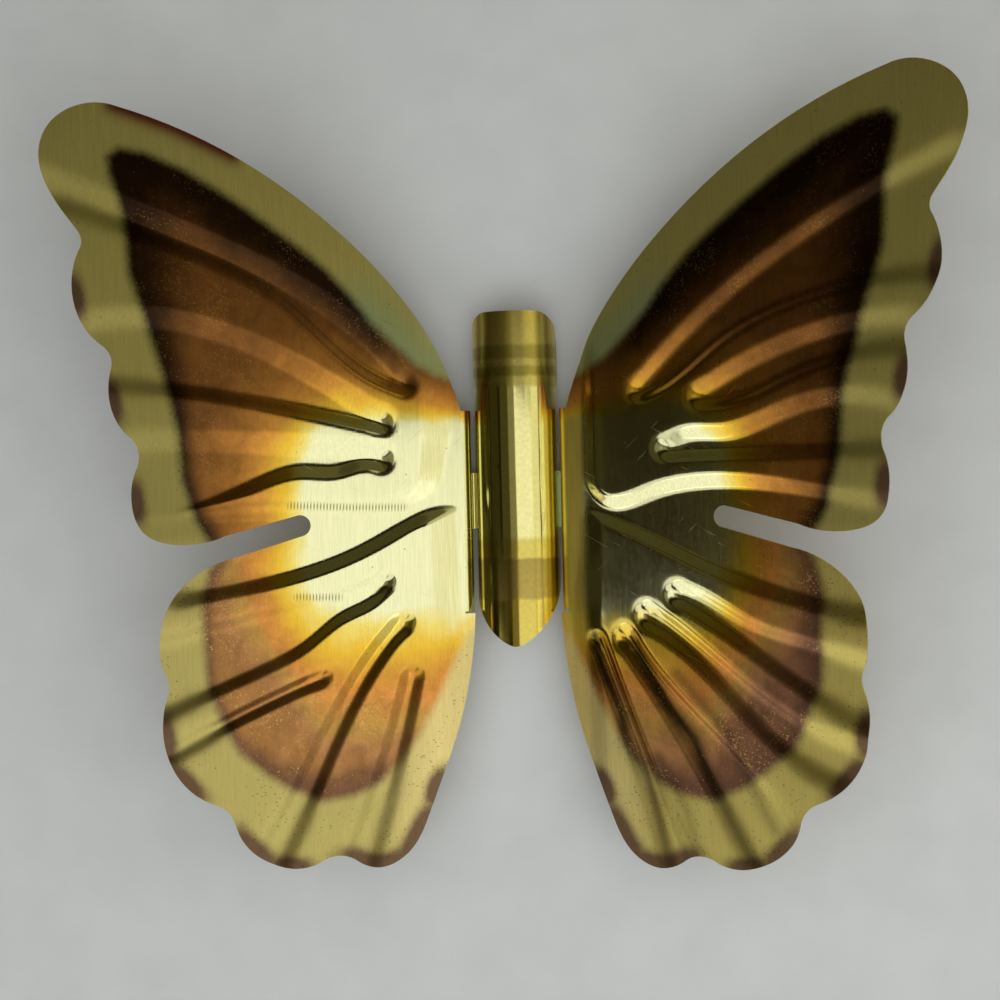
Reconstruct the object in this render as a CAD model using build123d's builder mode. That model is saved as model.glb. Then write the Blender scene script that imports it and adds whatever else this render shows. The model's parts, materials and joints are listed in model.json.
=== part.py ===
# Butterfly wall ornament: two stamped brass wings hinged by curled tabs to a half-round body shell.
# Millimetres. X runs across the wings, +Y to the head, +Z out of the back plane towards the viewer.
# The origin is the nail hole in the hanger strap, on the back plane.
import math
import os

from build123d import *

# Sheet metal
wing_sheet = 0.5
body_sheet = 0.6
strap_sheet = 0.8
overrun = 6.0

# Body shell
body_width = 21.0
head_rise = 12.0
body_length = 83.0
head_corner = 4.5
tail_length = 16.0
tail_tip_radius = 2.5
tail_side_share = (0.74, 0.60)

# Curled tab hinge
tab_length = 14.0
tab_centre = 3.5
bar_height = 1.0
curl_clearance = 0.2
slot_clearance = 0.6
slot_end_clearance = 0.3
flange_strip = 0.4
swing_clearance = 0.1
rest_lift = 20.0
top_lift = 30.0
curl_turn = 270.0

# Wings, with outline points as shares of the forewing's rise above the slot line
wing_rise = 100.0
slot_line_drop = 38.0
root_bend = 3.0
root_top = 26.0
root_bottom = -24.0
bend_relief = 0.5
pad_height = 1.5
flute_depth = 1.4

# Hanger strap
strap_width = 10.0
nail_hole_radius = 2.25
strap_seat = 1.5
strap_leg_run = 2.0

leading_edge_shares = [(0.10, 0.427), (0.30, 0.675), (0.60, 0.895), (0.86, 0.999)]
fore_edge_shares = [
    [(0.86, 0.999), (0.95, 0.995), (1.015, 0.945), (1.035, 0.87), (1.004, 0.78), (0.95, 0.70)],
    [(0.95, 0.70), (0.941, 0.675), (0.949, 0.65)],
    [(0.949, 0.65), (0.966, 0.575), (0.952, 0.495), (0.90, 0.428)],
    [(0.90, 0.428), (0.879, 0.399), (0.881, 0.365)],
    [(0.881, 0.365), (0.886, 0.305), (0.871, 0.248), (0.835, 0.203)],
    [(0.835, 0.203), (0.82, 0.172), (0.823, 0.135)],
    [(0.823, 0.135), (0.839, 0.055), (0.81, -0.025), (0.73, -0.054), (0.62, -0.036)],
]
slot_end_shares = [(0.442, 0.010), (0.411, -0.015), (0.432, -0.041)]
hind_edge_shares = [
    [(0.60, -0.090), (0.70, -0.136), (0.765, -0.215), (0.781, -0.30), (0.773, -0.357)],
    [(0.773, -0.357), (0.761, -0.392), (0.769, -0.43)],
    [(0.769, -0.43), (0.778, -0.50), (0.757, -0.59), (0.66, -0.682)],
    [(0.66, -0.682), (0.627, -0.703), (0.611, -0.735)],
    [(0.611, -0.735), (0.555, -0.817), (0.47, -0.849), (0.41, -0.839)],
    [(0.41, -0.839), (0.365, -0.824), (0.32, -0.839)],
    [(0.32, -0.839), (0.255, -0.859), (0.19, -0.827), (0.13, -0.72), (0.046, -0.50), (0.008, -0.30)],
]

# Raised pads: the foot of each wavy wall and its top edge, from the root to past the margin
pad_outer_shares = (1.25, 1.20)
left_fore_wall_shares = [
    [(0.055, 0.20), (0.08, 0.10), (0.105, 0.05), (0.15, 0.025), (0.45, 0.027), (0.60, 0.024),
     (0.90, -0.012)],
    [(0.135, 0.20), (0.145, 0.12), (0.16, 0.075), (0.20, 0.052), (0.45, 0.053), (0.60, 0.051),
     (0.90, 0.014)],
]
left_hind_wall_shares = [
    [(0.045, 0.016), (0.12, 0.013), (0.17, -0.008), (0.30, -0.075), (0.40, -0.112), (0.50, -0.138),
     (0.90, -0.20)],
    [(0.125, -0.016), (0.15, -0.024), (0.19, -0.046), (0.30, -0.103), (0.40, -0.138), (0.50, -0.163),
     (0.90, -0.226)],
]
right_fore_wall_shares = [
    [(0.08, 0.10), (0.095, 0.042), (0.14, 0.009), (0.18, 0.008), (0.26, 0.033), (0.36, 0.052),
     (0.53, 0.049), (0.90, -0.01)],
    [(0.11, 0.10), (0.118, 0.062), (0.145, 0.039), (0.18, 0.040), (0.26, 0.067), (0.36, 0.085),
     (0.53, 0.077), (0.90, 0.015)],
]
right_hind_wall_shares = [
    [(0.08, 0.008), (0.13, -0.006), (0.25, -0.055), (0.41, -0.130), (0.55, -0.180), (0.90, -0.26)],
    [(0.13, -0.028), (0.16, -0.040), (0.26, -0.085), (0.42, -0.159), (0.55, -0.206), (0.90, -0.286)],
]
hind_far_shares = (1.25, -1.20)
hind_root_shares = [[(0.02, -1.20), (0.036, -0.24)], [(0.14, -1.20), (0.12, -0.24)]]
cap_shares = (0, 0.25, 0.5, 0.75, 1)

# Flutes: the root cap, the run of the lower and upper walls, then the lower and upper lips past the margin
left_flute_shares = [
    [(0.200, 0.145), (0.026, 0.042),
     [(0.235, 0.110), (0.28, 0.117), (0.34, 0.102), (0.44, 0.103), (0.51, 0.085), (0.95, 0.038)],
     [(0.235, 0.185), (0.40, 0.200), (0.95, 0.222)]],
    [(0.200, 0.238), (0.025, 0.040),
     [(0.225, 0.204), (0.36, 0.235), (0.60, 0.285), (0.98, 0.322)],
     [(0.235, 0.275), (0.42, 0.390), (0.62, 0.480), (1.02, 0.480)]],
    [(0.135, 0.332), (0.025, 0.040),
     [(0.170, 0.298), (0.27, 0.340), (0.48, 0.525), (0.70, 0.640), (1.05, 0.770)],
     [(0.165, 0.374), (0.35, 0.540), (0.57, 0.665), (1.05, 0.865)]],
    [(0.205, -0.150), (0.023, 0.030),
     [(0.222, -0.185), (0.26, -0.220), (0.33, -0.252), (0.42, -0.318), (0.52, -0.370), (0.90, -0.560)],
     [(0.248, -0.130), (0.40, -0.180), (0.62, -0.232), (0.90, -0.290)]],
    [(0.370, -0.380), (0.016, 0.020),
     [(0.390, -0.408), (0.56, -0.478), (0.90, -0.660)],
     [(0.405, -0.367), (0.56, -0.432), (0.90, -0.605)]],
    [(0.160, -0.243), (0.023, 0.032),
     [(0.165, -0.280), (0.22, -0.340), (0.31, -0.480), (0.36, -0.580), (0.52, -0.900)],
     [(0.214, -0.238), (0.325, -0.372), (0.415, -0.525), (0.63, -0.880)]],
    [(0.155, -0.363), (0.024, 0.032),
     [(0.140, -0.400), (0.17, -0.530), (0.28, -0.900)],
     [(0.202, -0.383), (0.245, -0.530), (0.39, -0.900)]],
]
right_flute_shares = [
    [(0.265, 0.150), (0.026, 0.038),
     [(0.300, 0.118), (0.50, 0.118), (0.95, 0.118)],
     [(0.300, 0.186), (0.35, 0.204), (0.44, 0.203), (0.58, 0.246), (0.73, 0.276), (0.95, 0.190)]],
    [(0.352, 0.275), (0.025, 0.039),
     [(0.385, 0.240), (0.50, 0.250), (0.62, 0.298), (0.76, 0.338), (0.98, 0.330)],
     [(0.385, 0.308), (0.50, 0.368), (0.70, 0.433), (1.02, 0.435)]],
    [(0.195, 0.290), (0.024, 0.034),
     [(0.245, 0.265), (0.30, 0.285), (0.45, 0.390), (0.62, 0.465), (1.05, 0.500)],
     [(0.215, 0.322), (0.45, 0.530), (0.70, 0.685), (1.05, 0.840)]],
    [(0.285, -0.196), (0.025, 0.022),
     [(0.322, -0.234), (0.48, -0.334), (0.62, -0.431), (0.90, -0.565)],
     [(0.325, -0.168), (0.40, -0.198), (0.50, -0.256), (0.62, -0.297), (0.90, -0.390)]],
    [(0.205, -0.250), (0.025, 0.023),
     [(0.238, -0.290), (0.31, -0.334), (0.43, -0.444), (0.85, -0.664)],
     [(0.250, -0.216), (0.32, -0.262), (0.46, -0.373), (0.85, -0.545)]],
    [(0.148, -0.296), (0.024, 0.021),
     [(0.166, -0.334), (0.247, -0.448), (0.337, -0.590), (0.517, -0.905)],
     [(0.205, -0.283), (0.28, -0.388), (0.42, -0.530), (0.64, -0.900)]],
    [(0.082, -0.290), (0.017, 0.017),
     [(0.085, -0.335), (0.16, -0.512), (0.28, -0.900)],
     [(0.128, -0.298), (0.20, -0.485), (0.38, -0.900)]],
]

# Hinge sizes that follow from the sheets and the clearances
bar_corner = math.hypot(bar_height / 2, wing_sheet / 2)
curl_inner = bar_corner + curl_clearance
curl_outer = curl_inner + body_sheet
hinge_height = curl_outer
slot_top = curl_outer + slot_clearance
bend_level = slot_top + flange_strip
valley_level = bend_level + root_bend
bend_reach = root_bend - wing_sheet / 2
top_angle = math.radians(top_lift)
top_lean = root_bend - bend_reach * math.cos(top_angle) + bend_level * math.sin(top_angle)
hinge_reach = body_width / 2 + swing_clearance + top_lean
shell_edge = hinge_height + curl_inner
root_length = root_top - root_bottom
root_middle = (root_top + root_bottom) / 2 - slot_line_drop
tab_middle = tab_centre - slot_line_drop


def at(share, side):
    """A point of the wing's plan, from its shares."""
    return (share[0] * wing_rise, side * share[1] * wing_rise)


def run_of(shares, side):
    """All points of a stretch of the outline."""
    return [at(share, side) for share in shares]


def lip(shares, side, inset):
    """The points of a lip, moved to the left of its run by the inset."""
    points = [Vector(*share) * wing_rise for share in shares]
    moved = []
    for index, point in enumerate(points):
        run = points[min(index + 1, len(points) - 1)] - points[max(index - 1, 0)]
        moved.append(point + Vector(-run.Y, run.X).normalized() * inset)
    return [(point.X, side * point.Y) for point in moved]


os.makedirs("parts", exist_ok=True)

# Body shell: a half-round trough, cut in plan to a blunt head and a pointed tail
tail_tip = head_rise - body_length
tail_start = tail_tip + tail_length
body_radius = body_width / 2
with BuildPart() as body_shell:
    with BuildSketch(Plane.XZ.offset(-head_rise)):
        with Locations((0, shell_edge)):
            Circle(body_radius)
            Circle(body_radius - body_sheet, mode=Mode.SUBTRACT)
        with Locations((0, shell_edge - body_radius)):
            Rectangle(body_width + overrun, body_width, mode=Mode.SUBTRACT)
    extrude(amount=body_length)
    with BuildSketch() as plan:
        with BuildLine():
            Polyline((body_radius, tail_start), (body_radius, head_rise), (-body_radius, head_rise),
                     (-body_radius, tail_start))
            for side in (-1, 1):
                bulge = (body_radius * tail_side_share[0], tail_start - tail_length * tail_side_share[1])
                ThreePointArc((side * body_radius, tail_start), (side * bulge[0], bulge[1]), (0, tail_tip))
        make_face()
        fillet(plan.vertices().group_by(Axis.Y)[-1], head_corner)
        fillet(plan.vertices().sort_by(Axis.Y)[0], tail_tip_radius)
    extrude(amount=shell_edge + body_width, mode=Mode.INTERSECT)
    for side in (-1, 1):
        with BuildSketch(Plane.XZ.offset(-tab_middle)):
            with BuildLine():
                centre = (side * hinge_reach, hinge_height)
                start_angle = 90.0
                turn = -side * curl_turn
                outer = CenterArc(centre, curl_outer, start_angle, turn)
                inner = CenterArc(centre, curl_inner, start_angle, turn)
                Line(outer @ 1, inner @ 1)
                stem_end = side * (body_radius - body_sheet)
                stem_top = hinge_height + curl_outer
                Polyline(outer @ 0, (stem_end, stem_top), (stem_end, shell_edge), inner @ 0)
            make_face()
        extrude(amount=tab_length / 2, both=True)
body_shell.part.label = "body_shell"
export_step(body_shell.part, "parts/body_shell.step")

# Wings: a relief of raised pads and sunk flutes, cut to the outline, with a bent root flange
wings = [
    ("left_wing", -1, left_fore_wall_shares, left_hind_wall_shares, left_flute_shares),
    ("right_wing", 1, right_fore_wall_shares, right_hind_wall_shares, right_flute_shares),
]
lift = math.radians(rest_lift)
pad_levels = (0, pad_height)
for wing_name, side, fore_wall, hind_wall, flutes in wings:
    out = Vector(side * math.cos(lift), 0, math.sin(lift))
    face = Vector(-side * math.sin(lift), 0, math.cos(lift))
    along = Vector(0, -side, 0)
    hinge = Vector(side * hinge_reach, 0, hinge_height)
    root_corner = hinge - out * (wing_sheet / 2) + face * valley_level
    valley = Plane(root_corner - Vector(0, slot_line_drop, 0), x_dir=out, z_dir=face)

    with BuildPart() as relief:
        with BuildSketch(valley):
            Rectangle(*[2 * share * wing_rise for share in pad_outer_shares])
        extrude(amount=-overrun)
        for level, wall_shares in zip(pad_levels, fore_wall):
            with BuildSketch(valley.offset(level)):
                with BuildLine():
                    wall = Spline(*run_of(wall_shares, side))
                    far = at(pad_outer_shares, side)
                    Polyline(wall @ 1, far, ((wall @ 0).X, far[1]), wall @ 0)
                make_face()
        loft(ruled=True)
        for level, wall_shares, root_shares in zip(pad_levels, hind_wall, hind_root_shares):
            with BuildSketch(valley.offset(level)):
                with BuildLine():
                    wall = Spline(*run_of(wall_shares, side))
                    Polyline(wall @ 1, *run_of([hind_far_shares] + root_shares, side), wall @ 0)
                make_face()
        loft(ruled=True)
        for cap, run_shares, lower, upper in flutes:
            low_run, high_run = [share * wing_rise for share in run_shares]
            for level, step in ((pad_height, 0), (pad_height - flute_depth, 1)):
                with BuildSketch(valley.offset(level)):
                    with BuildLine():
                        low = Spline(*lip(lower, side, low_run * step))
                        high = Spline(*lip(upper, side, -high_run * step))
                        tip = Vector(*at(cap, side))
                        inward = ((low @ 0 + high @ 0) / 2 - tip).normalized()
                        crown = tip + inward * (low_run + high_run) / 2 * step
                        cap_arc = ThreePointArc(low @ 0, crown, high @ 0, mode=Mode.PRIVATE)
                        Polyline(*[cap_arc @ share for share in cap_shares])
                        Line(low @ 1, high @ 1)
                    make_face()
            loft(ruled=True, mode=Mode.SUBTRACT)

    with BuildPart() as wing:
        add(relief.part)
        add(relief.part.moved(Location(face * -wing_sheet)), mode=Mode.SUBTRACT)
        with BuildSketch(valley):
            with BuildLine():
                root_start = (root_bend, side * root_top)
                tongue = side * (root_bottom - bend_relief)
                Spline(root_start, *run_of(leading_edge_shares, side))
                for stretch in fore_edge_shares:
                    Spline(*run_of(stretch, side))
                Line(at(fore_edge_shares[-1][-1], side), at(slot_end_shares[0], side))
                ThreePointArc(*run_of(slot_end_shares, side))
                Line(at(slot_end_shares[-1], side), at(hind_edge_shares[0][0], side))
                for stretch in hind_edge_shares:
                    edge = Spline(*run_of(stretch, side))
                Polyline(edge @ 1, (wing_sheet, tongue), (root_bend, tongue), root_start)
            make_face()
        extrude(amount=overrun, both=True, mode=Mode.INTERSECT)
        with BuildSketch(Plane(hinge + Vector(0, root_middle, 0), x_dir=out, z_dir=along)):
            with BuildLine():
                outside = CenterArc((bend_reach, bend_level), root_bend, 90, 90)
                inside = CenterArc((bend_reach, bend_level), root_bend - wing_sheet, 90, 90)
                Polyline(outside @ 1, (-wing_sheet / 2, -bar_height / 2),
                         (wing_sheet / 2, -bar_height / 2), inside @ 1)
                Line(outside @ 0, inside @ 0)
            make_face()
        extrude(amount=root_length / 2, both=True)
        with BuildSketch(Plane(hinge + Vector(0, tab_middle, 0), x_dir=out, z_dir=along)):
            with Locations((0, (bar_height / 2 + slot_top) / 2)):
                Rectangle(root_bend, slot_top - bar_height / 2)
        extrude(amount=tab_length / 2 + slot_end_clearance, both=True, mode=Mode.SUBTRACT)
    wing.part.label = wing_name
    export_step(wing.part, f"parts/{wing_name}.step")

# Hanger strap: a joggled strip across the open back, with the nail hole on the back plane
strap_end = body_radius
leg_top = strap_end - strap_seat
leg_foot = leg_top - strap_leg_run
with BuildPart() as hanger_strap:
    with BuildSketch(Plane.XZ):
        with BuildLine():
            Polyline((-strap_end, shell_edge), (-leg_top, shell_edge), (-leg_foot, strap_sheet),
                     (leg_foot, strap_sheet), (leg_top, shell_edge), (strap_end, shell_edge),
                     (strap_end, shell_edge - strap_sheet), (leg_top, shell_edge - strap_sheet),
                     (leg_foot, 0), (-leg_foot, 0), (-leg_top, shell_edge - strap_sheet),
                     (-strap_end, shell_edge - strap_sheet), close=True)
        make_face()
    extrude(amount=strap_width / 2, both=True)
    with Locations((0, 0, strap_sheet)):
        Hole(nail_hole_radius)
hanger_strap.part.label = "hanger_strap"
export_step(hanger_strap.part, "parts/hanger_strap.step")
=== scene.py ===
import json
import math
import bmesh
import bpy
import numpy as np
from mathutils import Matrix, Vector, kdtree, noise
from mathutils.bvhtree import BVHTree
from mathutils.geometry import delaunay_2d_cdt


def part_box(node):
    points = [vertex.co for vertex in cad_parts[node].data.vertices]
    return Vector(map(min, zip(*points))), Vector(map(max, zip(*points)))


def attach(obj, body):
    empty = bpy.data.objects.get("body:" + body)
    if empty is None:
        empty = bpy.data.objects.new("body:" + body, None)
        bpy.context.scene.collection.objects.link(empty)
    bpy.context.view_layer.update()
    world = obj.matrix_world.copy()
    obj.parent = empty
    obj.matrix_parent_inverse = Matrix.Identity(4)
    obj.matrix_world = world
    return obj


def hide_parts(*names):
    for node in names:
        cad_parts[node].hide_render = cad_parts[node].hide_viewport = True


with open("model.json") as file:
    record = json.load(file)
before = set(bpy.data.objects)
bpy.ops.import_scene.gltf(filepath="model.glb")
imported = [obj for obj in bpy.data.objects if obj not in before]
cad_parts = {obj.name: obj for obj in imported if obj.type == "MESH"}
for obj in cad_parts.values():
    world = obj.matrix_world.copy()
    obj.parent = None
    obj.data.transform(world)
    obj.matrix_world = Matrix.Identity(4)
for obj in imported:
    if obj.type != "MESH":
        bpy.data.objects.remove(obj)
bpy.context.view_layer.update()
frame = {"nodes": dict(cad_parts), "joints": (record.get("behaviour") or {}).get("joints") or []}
bpy.ops.object.select_all(action="DESELECT")  # the loaded nodes arrive selected
mm = 0.001
print("frame loaded:", sorted(frame["nodes"]))


def hexColour(code):  # sRGB hex to linear
    parts = [int(code[i:i + 2], 16) / 255 for i in (1, 3, 5)]
    return [p / 12.92 if p <= 0.04045 else ((p + 0.055) / 1.055) ** 2.4 for p in parts] + [1.0]


def addNode(tree, kind, props=None, inputs=None, out=0, ramp=None):
    node = tree.nodes.new("ShaderNode" + kind)
    for name, value in (props or {}).items():
        setattr(node, name, value)
    for key, value in (inputs or {}).items():
        if isinstance(value, bpy.types.NodeSocket):
            tree.links.new(value, node.inputs[key])
        else:
            node.inputs[key].default_value = value
    if ramp:
        stops = node.color_ramp.elements
        while len(stops) < len(ramp):
            stops.new(0.5)
        for stop, (place, colour) in zip(stops, ramp):
            stop.position = place
            stop.color = hexColour(colour)
    return node.outputs[out] if node.outputs else None


# settings that many nodes share
times = {"operation": "MULTIPLY"}
plus = {"operation": "ADD"}
timesPlus = {"operation": "MULTIPLY_ADD"}
larger = {"operation": "MAXIMUM"}
smooth = {"interpolation_type": "SMOOTHSTEP"}
tinting = {"data_type": "RGBA"}
shading = {"data_type": "RGBA", "blend_type": "MULTIPLY"}


# sheet metal pieces are cut as flat blanks, then formed
blank = {
    "clearShare": 0.6,       # of a step, kept free of points beside the outline
    "weld": 0.0001,          # mm, points closer than this are one
    "merge": 0.000004,       # m, the same for the solids' triangles
    "sharpAngle": 40.0,      # degrees, edges that stay sharp
}


def spacedLine(points, step):  # points along a line, no further apart than the step
    spaced = []
    for a, b in zip(points[:-1], points[1:]):
        count = max(1, math.ceil((Vector(b) - Vector(a)).length / step))
        spaced += [tuple(Vector(a).lerp(Vector(b), i / count)) for i in range(count)]
    return spaced + [tuple(points[-1])]


def cutBlank(outline, holes, step):  # points inside lie on whole steps
    points = []
    edges = []
    for loop in [outline] + holes:
        spaced = spacedLine(loop + [loop[0]], step)[:-1]
        first = len(points)
        points += [Vector(p) for p in spaced]
        edges += [(first + i, first + (i + 1) % len(spaced)) for i in range(len(spaced))]
    near = kdtree.KDTree(len(points))
    for i, p in enumerate(points):
        near.insert((p.x, p.y, 0), i)
    near.balance()
    low = np.min([tuple(p) for p in points], 0)
    high = np.max([tuple(p) for p in points], 0)
    for row in range(math.ceil(low[1] / step), math.floor(high[1] / step) + 1):
        for col in range(math.ceil(low[0] / step), math.floor(high[0] / step) + 1):
            if near.find((col * step, row * step, 0))[2] > blank["clearShare"] * step:
                points.append(Vector((col * step, row * step)))
    verts, _, faces, _, _, _ = delaunay_2d_cdt(points, edges, [], 1, blank["weld"])
    flat = np.array([tuple(v) for v in verts])
    tris = np.array(faces)
    middle = flat[tris].mean(1)
    keep = np.ones(len(tris), bool)
    for hole in holes:
        keep &= ~np.all((middle > np.min(hole, 0)) & (middle < np.max(hole, 0)), axis=1)
    tris = tris[keep]
    used = np.unique(tris)
    renumber = np.full(len(flat), -1)
    renumber[used] = np.arange(len(used))
    return flat[used], renumber[tris]


def meshPiece(name, places, tris):
    mesh = bpy.data.meshes.new(name)
    mesh.from_pydata([tuple(p) for p in places], [], [tuple(int(i) for i in t) for t in tris])
    mesh.validate()
    piece = bpy.data.objects.new(name, mesh)
    bpy.context.scene.collection.objects.link(piece)
    return piece


def pickOnly(piece):
    bpy.ops.object.select_all(action="DESELECT")
    piece.select_set(True)
    bpy.context.view_layer.objects.active = piece


def thicken(piece, thickness):
    pickOnly(piece)
    wall = piece.modifiers.new("sheet", "SOLIDIFY")
    wall.thickness = thickness
    wall.offset = -1
    wall.use_even_offset = True
    bpy.ops.object.modifier_apply(modifier=wall.name)
    bpy.ops.object.shade_smooth_by_angle(angle=math.radians(blank["sharpAngle"]))


def keepInside(piece, node):  # no point stands outside the box of its solid
    places = np.empty(3 * len(piece.data.vertices))
    piece.data.vertices.foreach_get("co", places)
    low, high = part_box(node)
    piece.data.vertices.foreach_set("co", np.clip(places.reshape(-1, 3), low, high).ravel())
    piece.data.update()


def addField(piece, name, values):
    field = piece.data.attributes.new(name, "FLOAT", "POINT")
    field.data.foreach_set("value", np.asarray(values, np.float32))


def lineDistance(points, line):  # distance of each point from a line of points
    best = np.full(len(points), np.inf)
    for a, b in zip(line[:-1], line[1:]):
        a = np.array(a)
        d = np.array(b) - a
        t = np.clip(((points - a) @ d) / (d @ d), 0, 1)
        best = np.minimum(best, np.hypot(*(points - a - t[:, None] * d).T))
    return best


def alongLines(points, lines, spread):  # 1 on a line, fading over the spread
    field = np.zeros(len(points))
    for line in lines:
        field = np.maximum(field, np.exp(-(lineDistance(points, line) / spread) ** 2))
    return field


def insideLoop(points, loop):
    inside = np.zeros(len(points), bool)
    for a, b in zip(loop, loop[1:] + loop[:1]):
        if a[1] == b[1]:
            continue
        crosses = (a[1] > points[:, 1]) != (b[1] > points[:, 1])
        x = a[0] + (points[:, 1] - a[1]) * (b[0] - a[0]) / (b[1] - a[1])
        inside ^= crosses & (points[:, 0] < x)
    return inside


wing = {
    "sheet": 0.5,            # mm, brass sheet
    "meshStep": 0.56,        # mm between points of the formed sheet
    "lift": 20.0,            # degrees at rest
    "valley": 5.359,         # mm, face of the unraised sheet above the hinge bar
    "slotLine": -38.0,       # mm, where the notch between the wings lies
    "bend": 3.0,             # mm, outside radius of the root bend
    "rootTop": 26.0,
    "rootBottom": -24.0,
    "flangeTop": 2.359,      # mm above the hinge bar
    "flangeFoot": -0.5,
    "slotTop": 1.959,
    "slotFoot": 0.5,
    "slotEnds": (-3.8, 10.8),
    "bendRelief": 0.5,       # mm, cut below the root bend
    "rootReach": 0.45,       # mm below the root bend, still the root's own edge
    "rimTilt": 0.3,          # how level a triangle of the front skin is, at the least
    "rimGap": 0.02,          # mm, points of the rim closer than this are one
    "edgeSpread": 0.4,       # mm, rounding of the stamped edges
    "capSpread": 0.8,        # mm, rounding of the flutes' ends
    "capReach": 5.5,         # mm round each end
    "capShift": 2,           # mm outwards
    "capFade": 2,
    "marginSpread": 1.3,     # mm, the flutes run out shallow on the margin
    "marginStart": 3,        # mm inside the edge of the tint
    "marginFade": 8,
    "softReach": 4.5,        # mm beside a softly pressed line
    "softFade": 2.5,
    "mapBorder": 12,         # cells round the map of the relief
    "probeHeights": (30, -2),  # mm, where the probe starts and gives up
    "ripple": 0.05,          # mm, unevenness of the pressed sheet
    "rippleSpan": 14,        # mm
    "rippleSeed": 3.0,
    "rippleStart": 4,        # mm out from the root
    "rippleFade": 6,
}

# values in mm out from the root and up from the notch, where the two wings differ
leftWing = {
    "caps": [(20, 14.5), (20, 23.8), (13.5, 33.2), (20.5, -15), (37, -38), (16, -24.3), (15.5, -36.3)],
    "softLines": [],         # where the pressing is soft
    "dusk": [(-75, 13), (-64, 12), (-52, 4.5), (-20, 4), (-5, 6)],  # up, and how far in the edge is dark
    "paintedShade": [],             # how strong the painted shade beside the flutes is, and where: dark bars standing for dark reflections
    "blushLines": [[(58, 88.5), (72, 95), (86, 100)]],
    "combLines": [[(18, 2.3), (32, 2.7), (46, 3.4)], [(34.5, -19.4), (45, -18.8)]],  # press marks
    "seed": 3.0,             # mm, shifts the clouds and specks
    "hindFar": "#b27e46",
    "hindMargin": "#c8b96c",
    "valley": "#f5f3bb",
    "valleyDull": 0.03,      # added roughness
}

rightWing = {
    "caps": [(26.5, 15), (35.2, 27.5), (19.5, 29), (28.5, -19.6), (20.5, -25), (14.8, -29.6), (8.2, -29)],
    "softLines": [[(10, 9.5), (10, 26)], [(6, -24), (6, -5)]],
    "dusk": [(-75, 8), (-50, 8), (-20, 9), (-5, 8)],
    # painted shade: dark bars beside the hind wing's flutes, standing for dark reflections
    "paintedShade": [
        (1.0, [[(9.6, -30), (11, -37), (16, -48), (17.5, -55), (22.5, -65), (24.5, -71), (28.2, -86)],
               [(20, -32), (28, -46.5), (35, -54.5), (37.2, -60.5), (41.8, -70), (50, -84.5)]]),
        (0.5, [[(31.5, -39), (43.5, -52.5), (46.5, -60), (54.5, -75)]]),
        (0.45, [[(26, -59), (29.7, -65), (33, -72), (35.5, -81)]]),
    ],
    "blushLines": [],
    "combLines": [],
    "seed": 41.0,
    "hindFar": "#96694a",
    "hindMargin": "#d6c46c",
    "valley": "#e4c634",
    "valleyDull": 0.26,
}

# edge of the dark tint, in mm out from the root and up from the notch
tintEdge = [
    (-6, 32), (3, 33), (9, 35), (14, 37.5), (20, 43), (25, 48), (30, 54.5), (36, 61), (42, 66), (50, 72),
    (60, 79), (70, 85), (79, 88.8), (85, 89.8), (87.8, 87.6), (87.4, 83.6), (85.6, 78), (84, 70), (83.5, 60),
    (81, 52), (78, 42), (75, 32), (73, 22), (72, 10), (69, 0), (66, -5), (64, -9), (66, -12), (68, -20),
    (67.5, -30), (67, -40), (64, -48), (60, -56), (53, -62), (47, -66), (40, -69), (32, -68), (25, -65),
    (20, -60), (15, -53), (11, -46), (7, -38), (3, -30), (-6, -24),
]

# scorched patches at the lobes: out, up, radius in mm
scorched = [
    (97, 54, 6), (89, 29, 6), (83, 5, 6), (78, -52, 7), (73, -63, 7), (57, -80, 8), (48, -85, 6),
    (27, -85, 11), (17, -78, 10), (12, -67, 6),
]


def hingeOf(name):
    return Vector(next(j for j in frame["joints"] if j["child"] == name)["pos_m"])


def wingAxes(name):
    hinge = hingeOf(name)
    side = 1 if hinge.x > 0 else -1
    lift = math.radians(wing["lift"])
    out = Vector((side * math.cos(lift), 0, math.sin(lift)))
    face = Vector((-side * math.sin(lift), 0, math.cos(lift)))
    corner = Vector((hinge.x, 0, hinge.z)) - out * wing["sheet"] / 2 * mm + face * wing["valley"] * mm
    corner.y = wing["slotLine"] * mm
    return side, np.array(out), np.array(face), np.array(corner)


def stampedFace(name, out, face, corner):  # the solid's triangles in wing coordinates, mm
    copy = frame["nodes"][name].data.copy()
    work = bmesh.new()
    work.from_mesh(copy)
    bmesh.ops.remove_doubles(work, verts=work.verts, dist=blank["merge"])  # it comes as loose triangles
    bmesh.ops.triangulate(work, faces=work.faces)
    places = np.array([v.co for v in work.verts]) - corner
    work.verts.index_update()
    tris = np.array([[v.index for v in f.verts] for f in work.faces])
    work.free()
    bpy.data.meshes.remove(copy)
    return np.stack([places @ out, places[:, 1], places @ face], 1) / mm, tris


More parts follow.
